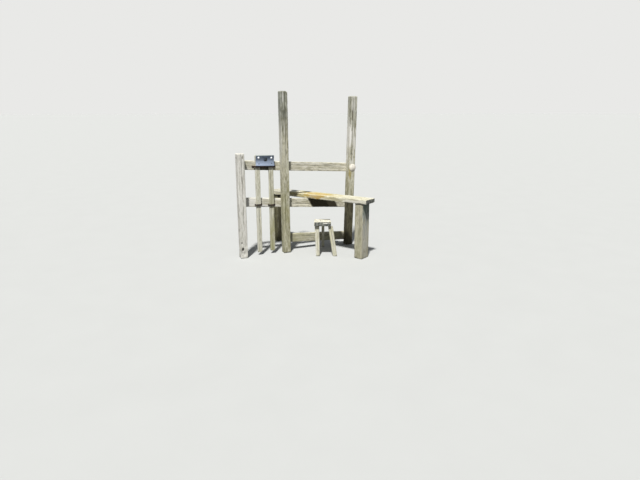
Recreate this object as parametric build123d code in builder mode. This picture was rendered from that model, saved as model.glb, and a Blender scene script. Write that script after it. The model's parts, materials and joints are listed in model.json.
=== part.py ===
from build123d import *
from math import asin, cos, degrees, hypot, radians, sin, tan
import os

# A wooden crossing stile with a lift-up dog gate beside it, in millimetres.
# The origin is the middle of the left tall post's foot, on the ground. X runs
# along the fence to the right, Y runs across it to the far side, Z is up.

# Fence posts, square in section, each with the sideways lean it has settled to
post_side = 78.0
post_top_bevel = 5.0
post_edge_round = 4.0
left_post_height = 1698.0
left_post_lean = -12.0
crossing_width = 768.0
right_post_height = 1658.0
right_post_lean = 37.0
gate_bay_width = 487.0
short_post_height = 1092.0
short_post_lean = 1.0

# Rails behind the posts; each falls to the right by its own slope
rail_depth = 97.0
rail_thickness = 38.0
rail_end_inset = 25.0
rail_edge_round = 2.5
top_rail_height = 987.0
top_rail_fall = 0.065
middle_rail_height = 593.0
middle_rail_fall = 0.085
bottom_rail_height = 197.0
bottom_rail_fall = 0.07

# Upper tread, which crosses the fence and lies on the middle rail
upper_tread_length = 1340.0
upper_tread_width = 170.0
upper_tread_thickness = 48.0
upper_tread_turn = 26.3
upper_tread_tilt = 1.1
upper_tread_from_right_post = 79.0
upper_tread_near_reach = 613.0
tread_edge_round = 4.0

# The two legs below the upper tread
leg_length = 98.0
leg_width = 130.0
near_leg_end_inset = 46.0
far_leg_end_inset = 16.0
leg_side_inset = 10.0
leg_edge_round = 3.0

# Lower tread, short and tipped down towards the fence
lower_tread_length = 430.0
lower_tread_width = 180.0
lower_tread_thickness = 48.0
lower_tread_turn = 25.7
lower_tread_tilt = 8.5
lower_tread_from_left_post = 277.0
lower_tread_near_reach = 338.0
lower_tread_near_height = 382.0

# Stakes below the lower tread; the right one stands out past the tread's edge
stake_depth = 46.0
stake_edge_bevel = 7.0
stake_end_inset = 16.0
left_stake_width = 50.0
left_stake_foot_width = 42.0
left_stake_side_inset = 6.0
left_stake_splay = -9.0
right_stake_width = 52.0
right_stake_foot_width = 48.0
right_stake_overhang = 11.0
right_stake_splay = 58.0
rear_stake_width = 26.0
rear_stake_depth = 30.0
rear_stake_offset = 8.0

# Dog gate: two slats that slide up in steel guides on the rails' near faces
slat_width = 52.0
slat_thickness = 22.0
slat_gap = 94.0
slat_edge_bevel = 1.5
gate_offset = 20.0
slat_foot_height = 32.0
running_clearance = 5.0
seat_clearance = 0.3

# Folded steel handle plate on the slats' tops, hung a little down to the right
plate_width = 199.0
plate_height = 108.0
plate_thickness = 3.0
plate_offset = 8.5
plate_drop_to_foot = 47.0
plate_fall = 0.042
plate_flat_height = 48.0
plate_flare = 16.0
plate_fold_radius = 4.0
hook_slot_width = 10.0
hook_slot_height = 31.0
hook_slot_drop = 44.5
hook_slot_offset = 15.0
hook_tail_length = 31.0
cross_bar_foot = 12.0

# Domed bolt heads through the plate into the slats
bolt_head_radius = 10.5
bolt_head_rise = 6.0
bolt_head_slope = 38.0
bolt_drop = 27.0
bolt_spacing = 140.0

# Guides of flat steel bar, bent round the slats
guide_height = 16.0
guide_thickness = 5.0
guide_bend_radius = 8.0
guide_side_clearance = 6.0
lower_guide_drop = 60.0
upper_guide_foot_length = 22.0

# Waymark disc on the right tall post
disc_radius = 40.0
disc_thickness = 2.5
disc_edge_bevel = 0.8
disc_height = 892.0
disc_offset = 6.0

post_half = post_side / 2
rail_front = post_half
rail_back = post_half + rail_thickness
gate_middle_x = gate_offset - gate_bay_width / 2


def top_rail_top(x):
    return top_rail_height - top_rail_fall * x


def middle_rail_top(x):
    return middle_rail_height - middle_rail_fall * x


def bottom_rail_top(x):
    return bottom_rail_height - bottom_rail_fall * x


os.makedirs("parts", exist_ok=True)


def long_edges(piece, shortest):
    return piece.edges().filter_by(lambda edge: edge.length > shortest)


def save(piece, name):
    piece.part.label = name
    export_step(piece.part, f"parts/{name}.step")


# Posts: sawn square, leaning along the fence only, with bevelled tops
def make_post(middle_x, height, lean, name):
    with BuildPart() as post:
        with BuildSketch(Plane.XZ.offset(-post_half)):
            with BuildLine():
                Polyline(
                    (middle_x - post_half, 0),
                    (middle_x + post_half, 0),
                    (middle_x + post_half + lean, height),
                    (middle_x - post_half + lean, height),
                    close=True,
                )
            make_face()
        extrude(amount=post_side)
        chamfer(post.faces().sort_by(Axis.Z)[-1].edges(), post_top_bevel)
        fillet(long_edges(post, height / 2), post_edge_round)
    save(post, name)


make_post(0, left_post_height, left_post_lean, "left_tall_post")
make_post(crossing_width, right_post_height, right_post_lean, "right_tall_post")
make_post(-gate_bay_width, short_post_height, short_post_lean, "left_short_post")


# Rails: boards on edge with plumb ends and softened long edges
rail_right_end = crossing_width + post_half - rail_end_inset
rail_left_end = -gate_bay_width - post_half + rail_end_inset
bottom_rail_left_end = -post_half + rail_end_inset


def make_rail(left_x, right_x, top_at, name):
    with BuildPart() as rail:
        with BuildSketch(Plane.XZ.offset(-rail_front)):
            with BuildLine():
                Polyline(
                    (left_x, top_at(left_x)),
                    (right_x, top_at(right_x)),
                    (right_x, top_at(right_x) - rail_depth),
                    (left_x, top_at(left_x) - rail_depth),
                    close=True,
                )
            make_face()
        extrude(amount=-rail_thickness)
        fillet(long_edges(rail, (right_x - left_x) / 2), rail_edge_round)
    save(rail, name)


make_rail(rail_left_end, rail_right_end, top_rail_top, "top_rail")
make_rail(rail_left_end, rail_right_end, middle_rail_top, "middle_rail")
make_rail(bottom_rail_left_end, rail_right_end, bottom_rail_top, "bottom_rail")


# Upper tread: it rests where its left edge crosses the middle rail's back arris
upper_tread_near_x = crossing_width - upper_tread_from_right_post
upper_tread_near_y = -upper_tread_near_reach
upper_run_x = -sin(radians(upper_tread_turn))
upper_run_y = cos(radians(upper_tread_turn))
upper_left_x = upper_tread_near_x - upper_tread_width / 2 * upper_run_y
upper_left_y = upper_tread_near_y + upper_tread_width / 2 * upper_run_x
seat_run = (rail_back - upper_left_y) / upper_run_y
seat_x = upper_left_x + seat_run * upper_run_x
upper_slope = tan(radians(upper_tread_tilt))
upper_underside = middle_rail_top(seat_x) + seat_run * upper_slope

upper_under_plane = Plane(
    origin=(upper_tread_near_x, upper_tread_near_y, upper_underside),
    x_dir=(upper_run_x, upper_run_y, -upper_slope),
    z_dir=(upper_run_x * upper_slope, upper_run_y * upper_slope, 1),
)

with BuildPart() as upper_tread:
    with BuildSketch(upper_under_plane):
        Rectangle(upper_tread_length, upper_tread_width, align=(Align.MIN, Align.CENTER))
    extrude(amount=upper_tread_thickness)
    upper_top_face = upper_tread.faces().sort_by(Axis.Z)[-1]
    fillet(upper_top_face.edges(), tread_edge_round)
save(upper_tread, "upper_tread")


# Legs of the upper tread: posts cut to its underside, inset from its end and side
def make_leg(run_from, run_to, name):
    foot_plane = Plane(
        origin=(upper_tread_near_x, upper_tread_near_y, 0),
        x_dir=(upper_run_x, upper_run_y, 0),
        z_dir=(0, 0, 1),
    )
    leg_side = upper_tread_width / 2 - leg_side_inset - leg_width / 2
    with BuildPart() as leg:
        with BuildSketch(foot_plane):
            with Locations(((run_from + run_to) / 2, leg_side)):
                Rectangle(run_to - run_from, leg_width)
        extrude(amount=upper_underside + upper_tread_thickness)
        fillet(leg.edges().filter_by(Axis.Z), leg_edge_round)
        split(bisect_by=upper_under_plane, keep=Keep.BOTTOM)
    save(leg, name)


make_leg(near_leg_end_inset, near_leg_end_inset + leg_length, "upper_tread_near_leg")
far_leg_run = upper_tread_length * cos(radians(upper_tread_tilt)) - far_leg_end_inset
make_leg(far_leg_run - leg_length, far_leg_run, "upper_tread_far_leg")


# Lower tread, with its far end over the rear stake at the bottom rail
lower_tread_near_x = lower_tread_from_left_post
lower_tread_near_y = -lower_tread_near_reach
lower_run_x = sin(radians(lower_tread_turn))
lower_run_y = cos(radians(lower_tread_turn))
lower_slope = tan(radians(lower_tread_tilt))
lower_top_plane = Plane(
    origin=(lower_tread_near_x, lower_tread_near_y, lower_tread_near_height),
    x_dir=(lower_run_x, lower_run_y, -lower_slope),
    z_dir=(lower_run_x * lower_slope, lower_run_y * lower_slope, 1),
)
lower_under_plane = lower_top_plane.offset(-lower_tread_thickness)

with BuildPart() as lower_tread:
    with BuildSketch(lower_under_plane):
        Rectangle(lower_tread_length, lower_tread_width, align=(Align.MIN, Align.CENTER))
    extrude(amount=lower_tread_thickness)
    fillet(lower_tread.faces().sort_by(Axis.Z)[-1].edges(), tread_edge_round)
save(lower_tread, "lower_tread")


# Stakes: tapered from the tread's underside to the foot, each with its own splay
def make_stake(side, width, foot_width, side_inset, splay, name):
    run_middle = stake_end_inset + stake_depth / 2
    top_middle = side * (lower_tread_width / 2 - side_inset - width / 2)
    foot_middle = top_middle + side * splay
    foot_plane = Plane(
        origin=(lower_tread_near_x, lower_tread_near_y, 0),
        x_dir=(lower_run_x, lower_run_y, 0),
        z_dir=(0, 0, 1),
    )
    with BuildPart() as stake:
        with BuildSketch(foot_plane) as foot_section:
            with Locations((run_middle, foot_middle)):
                Rectangle(stake_depth, foot_width)
            chamfer(foot_section.vertices(), stake_edge_bevel)
        with BuildSketch(foot_plane.offset(lower_tread_near_height)) as top_section:
            with Locations((run_middle, top_middle)):
                Rectangle(stake_depth, width)
            chamfer(top_section.vertices(), stake_edge_bevel)
        loft(ruled=True)
        split(bisect_by=lower_under_plane, keep=Keep.BOTTOM)
    save(stake, name)


make_stake(
    1,
    left_stake_width,
    left_stake_foot_width,
    left_stake_side_inset,
    left_stake_splay,
    "lower_tread_left_stake",
)
make_stake(
    -1,
    right_stake_width,
    right_stake_foot_width,
    -right_stake_overhang,
    right_stake_splay,
    "lower_tread_right_stake",
)

rear_stake_y = rail_front - rear_stake_depth / 2
rear_stake_run = (rear_stake_y - lower_tread_near_y) / lower_run_y
rear_stake_x = lower_tread_near_x + rear_stake_run * lower_run_x + rear_stake_offset

with BuildPart() as rear_stake:
    with BuildSketch(Plane.XY):
        with Locations((rear_stake_x, rear_stake_y)):
            Rectangle(rear_stake_width, rear_stake_depth)
    extrude(amount=lower_tread_near_height)
    split(bisect_by=lower_under_plane, keep=Keep.BOTTOM)
save(rear_stake, "lower_tread_rear_stake")


# Dog gate: the handle plate's own frame hangs down to the right by its fall, and
# its foot is set from the top rail, where the guide below it is fixed
slat_back = rail_front - running_clearance
slat_front = slat_back - slat_thickness
slat_pitch = slat_width + slat_gap
slat_middles = {
    "left": gate_middle_x - slat_pitch / 2,
    "right": gate_middle_x + slat_pitch / 2,
}
plate_middle_x = gate_middle_x + plate_offset
plate_foot_height = top_rail_top(plate_middle_x) - plate_drop_to_foot
plate_top_height = plate_foot_height + plate_height
plate_run = (1, 0, -plate_fall)
plate_rise = (plate_fall, 0, 1)
plate_top_plane = Plane(origin=(plate_middle_x, 0, plate_top_height), x_dir=plate_run, z_dir=plate_rise)
slat_top_plane = plate_top_plane.offset(-plate_thickness)


def plate_top(x):
    return plate_top_height - plate_fall * (x - plate_middle_x)


# Battens of the gate, set clear of the rails' near faces and cut to the plate's lip
def make_batten(middle_x, width, foot_height, name):
    with BuildPart() as batten:
        with BuildSketch(Plane.XY.offset(foot_height)) as section:
            with Locations((middle_x, (slat_front + slat_back) / 2)):
                Rectangle(width, slat_thickness)
            chamfer(section.vertices(), slat_edge_bevel)
        extrude(amount=plate_top_height)
        split(bisect_by=slat_top_plane, keep=Keep.BOTTOM)
    save(batten, name)


for side_name, slat_middle in slat_middles.items():
    make_batten(slat_middle, slat_width, slat_foot_height, f"gate_{side_name}_slat")

# Cross bar, which fills the gap between the slats behind the plate
make_batten(gate_middle_x, slat_gap, plate_foot_height + cross_bar_foot, "gate_cross_bar")


# Handle plate: one folded sheet, with a lip over the slats' tops, a flat face
# against them, a flare away from them and a return below that rests on the guide.
# A hook-shaped slot is cut in it for a finger or a latch
flare_height = plate_height - plate_flat_height - plate_thickness
flare_radius = (flare_height**2 + plate_flare**2) / (2 * plate_flare)
flare_angle = degrees(asin(flare_height / flare_radius))
sheet_front = slat_front - plate_thickness
flare_centre = (slat_front - flare_radius, -plate_flat_height)
hook_slot_x = plate_middle_x + hook_slot_offset
hook_slot_z = plate_top(hook_slot_x) - hook_slot_drop
hook_tail_x = hook_slot_x + (hook_slot_width - hook_tail_length) / 2
hook_tail_z = hook_slot_z + (hook_slot_width - hook_slot_height) / 2
profile_plane = Plane(
    origin=plate_top_plane.from_local_coords((-plate_width / 2, 0, 0)),
    x_dir=(0, 1, 0),
    z_dir=plate_run,
)

with BuildPart() as gate_plate:
    with BuildSketch(profile_plane):
        with Locations((slat_back, 0)):
            Rectangle(slat_back - sheet_front, plate_thickness, align=(Align.MAX, Align.MAX))
        with Locations((slat_front, 0)):
            Rectangle(plate_thickness, plate_flat_height, align=(Align.MAX, Align.MAX))
        with BuildLine():
            inner_flare = CenterArc(flare_centre, flare_radius, 0, -flare_angle)
            outer_flare = CenterArc(flare_centre, flare_radius - plate_thickness, 0, -flare_angle)
            Line(inner_flare @ 0, outer_flare @ 0)
            Line(inner_flare @ 1, outer_flare @ 1)
        make_face()
        with BuildLine():
            Polyline(
                outer_flare @ 1,
                inner_flare @ 1,
                (slat_front, -plate_height + plate_thickness),
                (slat_front, -plate_height),
                ((outer_flare @ 1).X, -plate_height),
                close=True,
            )
        make_face()
    extrude(amount=plate_width)
    top_edges = gate_plate.edges().filter_by(Axis((0, 0, 0), plate_run)).group_by(Axis.Z)[-1]
    fillet(top_edges.sort_by(Axis.Y)[0], plate_fold_radius)
    with BuildSketch(Plane.XZ.offset(-slat_front)):
        with Locations((hook_slot_x, hook_slot_z)):
            SlotOverall(hook_slot_height, hook_slot_width, rotation=90)
        with Locations((hook_tail_x, hook_tail_z)):
            SlotOverall(hook_tail_length, hook_slot_width)
    extrude(amount=plate_thickness + plate_flare, mode=Mode.SUBTRACT)
save(gate_plate, "gate_handle_plate")


# Domed bolt heads on the plate's flat face, one to each slat
for side_name, side in (("left", -1), ("right", 1)):
    bolt_x = plate_middle_x + side * bolt_spacing / 2
    with BuildPart() as bolt:
        with BuildSketch(Plane.XZ.offset(-sheet_front)):
            with Locations((bolt_x, plate_top(bolt_x) - bolt_drop)):
                Circle(bolt_head_radius)
        extrude(amount=bolt_head_rise, taper=bolt_head_slope)
    save(bolt, f"gate_{side_name}_bolt")


# Lower guides: flat bar bent round each slat, its ends on the middle rail
bar_middle = slat_front - running_clearance - guide_thickness / 2
guide_reach = guide_side_clearance + guide_thickness / 2

for side_name, slat_middle in slat_middles.items():
    guide_foot = middle_rail_top(slat_middle) - lower_guide_drop - guide_height
    bar_left = slat_middle - slat_width / 2 - guide_reach
    bar_right = slat_middle + slat_width / 2 + guide_reach
    with BuildPart() as lower_guide:
        with BuildSketch(Plane.XY.offset(guide_foot)):
            with BuildLine():
                FilletPolyline(
                    (bar_left, rail_front),
                    (bar_left, bar_middle),
                    (bar_right, bar_middle),
                    (bar_right, rail_front),
                    radius=guide_bend_radius,
                )
            trace(line_width=guide_thickness)
        extrude(amount=guide_height)
    save(lower_guide, f"{side_name}_lower_guide")


# Upper guide: one long bar before both slats, cranked back to feet on the top rail,
# and laid along the plate's fall so that the plate's return rests on all of it
upper_guide_depth = (plate_height + seat_clearance + guide_height) * hypot(1, plate_fall)
upper_guide_plane = Plane(
    origin=(gate_middle_x, 0, plate_top(gate_middle_x) - upper_guide_depth),
    x_dir=plate_run,
    z_dir=plate_rise,
)
upper_guide_half = slat_pitch / 2 + slat_width / 2 + guide_reach
foot_middle_y = rail_front - guide_thickness / 2

with BuildPart() as upper_guide:
    with BuildSketch(upper_guide_plane):
        with BuildLine():
            FilletPolyline(
                (-upper_guide_half - upper_guide_foot_length, foot_middle_y),
                (-upper_guide_half, foot_middle_y),
                (-upper_guide_half, bar_middle),
                (upper_guide_half, bar_middle),
                (upper_guide_half, foot_middle_y),
                (upper_guide_half + upper_guide_foot_length, foot_middle_y),
                radius=guide_bend_radius,
            )
        trace(line_width=guide_thickness)
    extrude(amount=guide_height)
save(upper_guide, "upper_guide")


# Waymark disc, on the right tall post's near face
disc_x = crossing_width + right_post_lean * disc_height / right_post_height + disc_offset

with BuildPart() as waymark_disc:
    with BuildSketch(Plane.XZ.offset(post_half)):
        with Locations((disc_x, disc_height)):
            Circle(disc_radius)
    extrude(amount=disc_thickness)
    chamfer(waymark_disc.faces().sort_by(Axis.Y)[0].edges(), disc_edge_bevel)
save(waymark_disc, "waymark_disc")
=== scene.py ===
"""Dresses a crossing stile in weathered timber, galvanised sheet and dark bar steel."""

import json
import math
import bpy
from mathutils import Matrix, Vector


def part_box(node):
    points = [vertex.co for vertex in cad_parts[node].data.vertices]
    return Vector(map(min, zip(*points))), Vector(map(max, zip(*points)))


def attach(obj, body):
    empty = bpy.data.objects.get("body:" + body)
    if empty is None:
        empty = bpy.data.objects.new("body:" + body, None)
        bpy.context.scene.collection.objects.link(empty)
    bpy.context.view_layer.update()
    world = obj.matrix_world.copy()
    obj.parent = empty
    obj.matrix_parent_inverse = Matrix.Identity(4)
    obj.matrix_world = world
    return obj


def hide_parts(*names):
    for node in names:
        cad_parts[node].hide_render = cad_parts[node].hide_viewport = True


bl_info = {
    "name": "Crossing stile",
    "version": (1, 0, 0),
    "blender": (4, 5, 0),
    "location": "View3D > Sidebar > Stile",
    "description": "Weathered timbers and steel for a crossing stile with a lift-up dog gate",
    "category": "Add Mesh",
}

from collections import namedtuple

import bmesh
import bpy
from mathutils import Matrix, Vector, noise
from mathutils.bvhtree import BVHTree

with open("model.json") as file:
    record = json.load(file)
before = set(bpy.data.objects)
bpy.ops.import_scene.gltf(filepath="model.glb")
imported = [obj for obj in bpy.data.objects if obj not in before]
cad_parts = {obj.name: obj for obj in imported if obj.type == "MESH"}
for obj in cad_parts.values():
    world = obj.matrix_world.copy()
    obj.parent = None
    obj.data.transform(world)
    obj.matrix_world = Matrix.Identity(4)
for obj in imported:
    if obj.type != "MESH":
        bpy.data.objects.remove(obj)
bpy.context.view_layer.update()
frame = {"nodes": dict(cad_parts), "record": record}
NODES = frame["nodes"]
BODIES = frame["record"]["behaviour"]["bodies"]
BODY_OF = {node: body for body, nodes in BODIES.items() for node in nodes}

MM = 0.001
RIGHT = Vector((1, 0, 0))
NEAR, FAR = Vector((0, -1, 0)), Vector((0, 1, 0))
DOWN, UP = Vector((0, 0, -1)), Vector((0, 0, 1))


def linear(code):
    """The scene colour of a six-figure sRGB code."""
    levels = [int(code[i:i + 2], 16) / 255 for i in (0, 2, 4)]
    return tuple(v / 12.92 if v <= 0.04045 else ((v + 0.055) / 1.055) ** 2.4 for v in levels)


def colour_setting(name, code, description):
    return bpy.props.FloatVectorProperty(
        name=name, description=description, subtype="COLOR", size=3, min=0, max=1,
        default=linear(code),
    )


def length_setting(name, default, description):
    return bpy.props.FloatProperty(
        name=name, description=description, subtype="DISTANCE", unit="LENGTH", min=0, default=default
    )


def angle_setting(name, degrees, description):
    return bpy.props.FloatProperty(
        name=name, description=description, subtype="ANGLE", default=math.radians(degrees)
    )


def strength_setting(name, default, description):
    return bpy.props.FloatProperty(name=name, description=description, min=0, default=default)


# Sizes and colours that a user would change


class StileTimber(bpy.types.PropertyGroup):
    """How worn the timbers are, and their colours."""

    ring_step: length_setting("Ring step", 11 * MM, "Spacing of the rings of faces along a timber")
    side_step: length_setting("Side step", 6.5 * MM, "Spacing of the faces across a timber")
    furrow_depth: length_setting("Furrow depth", 0.9 * MM, "How deep the soft grain has weathered out")
    hollow_depth: length_setting("Hollow depth", 0.9 * MM, "How deep the broad hollows of a face are")
    arris_reach: length_setting("Arris reach", 10 * MM, "How far from a corner the wear reaches")
    arris_wear: length_setting("Arris wear", 1.8 * MM, "How much a corner has worn away")
    post_pale: colour_setting("Post, pale", "dedcca", "Raised grain of the tall posts")
    post_dark: colour_setting("Post, dark", "8f8d77", "Soft grain of the tall posts")
    bleached_pale: colour_setting("Bleached, pale", "f3f2ec", "Raised grain of the short post")
    bleached_dark: colour_setting("Bleached, dark", "c6c5bc", "Soft grain of the short post")
    rail_pale: colour_setting("Rail, pale", "e8e5d6", "Raised grain of the rails")
    rail_dark: colour_setting("Rail, dark", "a9a693", "Soft grain of the rails")
    leg_pale: colour_setting("Leg, pale", "ccc8b4", "Raised grain of the near leg")
    leg_dark: colour_setting("Leg, dark", "98957f", "Soft grain of the near leg")
    # Painted shade: dark timber colours that stand for shade, on the right tall post's foot, the far
    # leg, the gate's cross bar and the darkenings
    damp_pale: colour_setting("Damp, pale", "4e4a33", "Raised grain of damp timber")
    damp_dark: colour_setting("Damp, dark", "221d07", "Soft grain of damp timber")
    tread_pale: colour_setting("Tread, pale", "e5e2cd", "Raised grain of the treads")
    tread_dark: colour_setting("Tread, dark", "b4b096", "Soft grain of the treads")
    stake_pale: colour_setting("Stake, pale", "fbf8e8", "Raised grain of the stakes")
    stake_dark: colour_setting("Stake, dark", "dcd9c0", "Soft grain of the stakes")
    slat_pale: colour_setting("Slat, pale", "ebeadb", "Raised grain of the gate slats")
    slat_dark: colour_setting("Slat, dark", "bfbda9", "Soft grain of the gate slats")
    silver: colour_setting("Silver", "efeee9", "Grain that the weather has bleached")
    end_pale: colour_setting("End grain, pale", "8c8e86", "Raised rings of cut ends")
    end_dark: colour_setting("End grain, dark", "474a48", "Soft rings of cut ends")
    # Painted shade: cracks and knot holes are painted this dark inside, by the cut attribute
    crack: colour_setting("Crack", "1c1712", "Inside of cracks and knot holes")
    stain: colour_setting("Darkening", "6a6555", "Dark stains along the grain")
    grey_pale: colour_setting("Grey, pale", "a8aca3", "Raised grain that the weather has greyed")
    grey_dark: colour_setting("Grey, dark", "60635a", "Soft grain that the weather has greyed")
    # Painted shade: blue grey on the upper part of the near leg's end face, under the tread's overhang
    painted_shade_blue: colour_setting("Blue grey", "5b7069", "Bloom on the near leg's shaded side")
    lichen: colour_setting("Lichen", "ac9a48", "Yellow lichen on the tops")
    orange: colour_setting("Orange lichen", "b8963e", "Orange lichen on the upper tread")
    algae: colour_setting("Algae", "9a996c", "Green bloom low on the posts")


class StileSteel(bpy.types.PropertyGroup):
    """Colours and sizes of the metal, and the disc's colours."""

    # Painted reflection: the sheet colour is the pale, bluish lower part of the plate, and the dark
    # reflection colour is its top
    sheet: colour_setting("Sheet", "8592a8", "Galvanised sheet of the handle plate")
    sheet_dark_reflection: colour_setting("Dull sheet", "3a4553", "Sheet where the zinc has dulled")
    # Painted highlight: a pale band along the sheet's top fold
    sheet_top_highlight: colour_setting("Sheet top", "a9b1ad", "Sheet at the top fold, rubbed by hands")
    sheet_run: colour_setting("Run mark", "b9c4d6", "Pale marks that rain has left on the sheet")
    spangle: colour_setting("Spangle", "93a2bb", "Crystals of the zinc")
    grime: colour_setting("Grime", "1b242e", "Dirt round the plate's slot")
    bar: colour_setting("Bar", "242322", "Flat bar of the guides")
    rust: colour_setting("Rust", "5f3d2b", "Rust on bars, nails and screws")
    bolt: colour_setting("Bolt", "eef3f8", "Bright bolt heads")
    screw: colour_setting("Screw", "363f4b", "Small screws of the plate")
    nail: colour_setting("Nail", "45413c", "Nail heads")
    disc: colour_setting("Disc", "f6f1e6", "Faded waymark disc")
    disc_ring: colour_setting("Disc ring", "b39c86", "Faint ring near the disc's rim")
    # The colour that the disc darkens to towards its rim
    disc_rim: colour_setting("Disc rim", "9b9484", "Grime at the disc's rim")
    disc_cloud: colour_setting("Disc cloud", "c9bfa6", "Cloudy stains on the disc")
    disc_nail: colour_setting("Disc nail", "8c8a86", "Nail heads in the disc")
    screw_radius: length_setting("Screw radius", 6 * MM, "Radius of the small screw heads")
    nail_radius: length_setting("Nail radius", 4 * MM, "Radius of the nail heads")
    head_rise: length_setting("Head rise", 1.6 * MM, "Height of the nail and screw heads")


class StileStage(bpy.types.PropertyGroup):
    """Camera, floor and light."""

    eye: bpy.props.FloatVectorProperty(
        name="Eye", description="Place of the camera", subtype="TRANSLATION", unit="LENGTH",
        size=3, default=(-1.8785, -4.7489, 1.5),
    )
    turn: angle_setting("Turn", -25.73, "Angle of the view from straight across the fence")
    pitch: angle_setting("Pitch", -14.99, "Angle of the view below the horizon")
    lens: bpy.props.FloatProperty(
        name="Lens", description="Focal length on a 36 mm sensor", subtype="DISTANCE_CAMERA",
        default=27.06,
    )
    sun: bpy.props.FloatVectorProperty(
        name="Light direction", description="Way the main light travels", subtype="DIRECTION",
        size=3, default=(0.75, 1.0, -2.3),
    )
    sun_spread: angle_setting("Light spread", 4, "How wide the main light looks from the stile")
    sun_strength: strength_setting("Main light", 5.2, "Strength of the main light")
    sky_strength: strength_setting("Sky light", 0.19, "Strength of the light all round")
    floor: colour_setting("Floor", "b9bbbb", "Paper of the floor")
    floor_shade: colour_setting("Floor shade", "4f4f4e", "What the floor gives back to the stile")
    backdrop: colour_setting("Backdrop", "e9e9e7", "What shows behind the floor")
    floor_size: length_setting("Floor size", 600.0, "Width of the floor")


# Shader maths as Python expressions


class Link:
    """An output socket, or what an expression on sockets gives."""

    def __init__(self, finish, socket):
        self.finish = finish
        self.socket = socket

    def maths(self, operation, *terms, clamp=False):
        settings = {"operation": operation, "use_clamp": clamp}
        return self.finish.add("ShaderNodeMath", settings, dict(enumerate(terms)))

    def __add__(self, other):
        return self.maths("ADD", self, other)

    def __radd__(self, other):
        return self.maths("ADD", other, self)

    def __sub__(self, other):
        return self.maths("SUBTRACT", self, other)

    def __rsub__(self, other):
        return self.maths("SUBTRACT", other, self)

    def __mul__(self, other):
        return self.maths("MULTIPLY", self, other)

    def __rmul__(self, other):
        return self.maths("MULTIPLY", other, self)

    def __truediv__(self, other):
        return self.maths("DIVIDE", self, other)

    def __pow__(self, other):
        return self.maths("POWER", self, other)

    def __abs__(self):
        return self.maths("ABSOLUTE", self)

    def clamped(self):
        return self.maths("ADD", self, 0.0, clamp=True)

    def between(self, low, high):
        """0 below low, 1 above high, and smooth from one to the other."""
        settings = {"interpolation_type": "SMOOTHSTEP"}
        values = {0: self, 1: low, 2: high, 3: 0.0, 4: 1.0}
        return self.finish.add("ShaderNodeMapRange", settings, values)

    def vector(self, operation, other, output=0):
        """What vector maths gives from this vector and another."""
        settings = {"operation": operation}
        return self.finish.add("ShaderNodeVectorMath", settings, {0: self, 1: other}, output)

    def stretched(self, factors):
        """A vector with each of its parts multiplied by its own factor."""
        return self.vector("MULTIPLY", factors)

    def moved(self, by):
        return self.vector("ADD", by)

    def along(self, direction):
        """The length of a vector along a direction."""
        return self.vector("DOT_PRODUCT", direction, 1)

    def distance(self, point):
        return self.vector("DISTANCE", point, 1)


class Tree:
    """A node tree that is put together by expressions, with its colours from the settings."""

    def __init__(self, holder, palette):
        holder.use_nodes = True
        self.palette = palette
        self.tree = holder.node_tree
        self.tree.nodes.clear()

    def add(self, kind, settings=None, values=None, output=0):
        """A node of that kind, with its settings, and the values or links of its sockets."""
        node = self.tree.nodes.new(kind)
        for key, value in (settings or {}).items():
            setattr(node, key, value)
        for key, value in (values or {}).items():
            socket = node.inputs[key]
            if isinstance(value, Link):
                self.tree.links.new(value.socket, socket)
            else:
                socket.default_value = value
        return Link(self, node.outputs[output]) if node.outputs else None

    def full(self, colour):
        """A link as it is, or a colour of the settings with its fourth part."""
        return colour if isinstance(colour, Link) else (*getattr(self.palette, colour), 1.0)

    def seen(self):
        """1 for what the camera, a gloss or a clear material shows, 0 for light on the object."""
        rays = ("Is Camera Ray", "Is Glossy Ray", "Is Transmission Ray")
        camera, gloss, clear = (self.add("ShaderNodeLightPath", output=ray) for ray in rays)
        return (camera + gloss + clear).clamped()

    def either(self, share, first, second):
        """One shader or the other, by a share from 0 to 1."""
        return self.add("ShaderNodeMixShader", values={0: share, 1: first, 2: second})


class Finish(Tree):
    """A material that is put together by expressions, one colour laid over another."""

    def __init__(self, name, palette):
        self.material = bpy.data.materials.new(name)
        self.colour = None
        super().__init__(self.material, palette)

    def here(self):
        """Object coordinates."""
        return self.add("ShaderNodeTexCoord", output="Object")

    def place(self, matrix):
        """Object coordinates in a timber's own frame, by the inverse of that frame."""
        values = {0: self.here(), 1: matrix.to_translation(), 2: matrix.to_euler("XYZ")}
        return self.add("ShaderNodeMapping", {"vector_type": "POINT"}, values)

    def noise(self, vector, scale=1.0, detail=3.0, roughness=0.55, distortion=0.0):
        values = {"Vector": vector, "Scale": scale, "Detail": detail}
        values |= {"Roughness": roughness, "Distortion": distortion}
        return self.add("ShaderNodeTexNoise", {"noise_dimensions": "3D"}, values)

    def cells(self, vector, scale):
        return self.add("ShaderNodeTexVoronoi", {"feature": "F1"}, {"Vector": vector, "Scale": scale})

    def attribute(self, name):
        return self.add("ShaderNodeAttribute", {"attribute_name": name}, output="Fac")

    def normal(self):
        return self.add("ShaderNodeNewGeometry", output="Normal")

    def mix(self, share, low, high):
        """A colour between two colours, by a share from 0 to 1."""
        settings = {"data_type": "RGBA", "clamp_factor": True}
        values = {0: share, 6: self.full(low), 7: self.full(high)}
        return self.add("ShaderNodeMix", settings, values, 2)

    def lay(self, share, colour):
        """Lays a colour over what the surface has so far, by a share from 0 to 1."""
        self.colour = self.mix(share, self.colour, colour)

    def shader(self, colour, **values):
        named = {key.title(): value for key, value in values.items()}
        return self.add("ShaderNodeBsdfPrincipled", values={"Base Color": self.full(colour), **named})

    def closed(self, shader):
        """The finished material, with this shader as its surface."""
        self.add("ShaderNodeOutputMaterial", values={"Surface": shader})
        return self.material

    def surface(self, relief, height, strength, **values):
        """The finished material, from the colours laid so far and a relief of that height."""
        bump = {"Strength": strength, "Distance": height, "Height": relief}
        normal = self.add("ShaderNodeBump", values=bump)
        return self.closed(self.shader(self.colour, normal=normal, **values))


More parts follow.
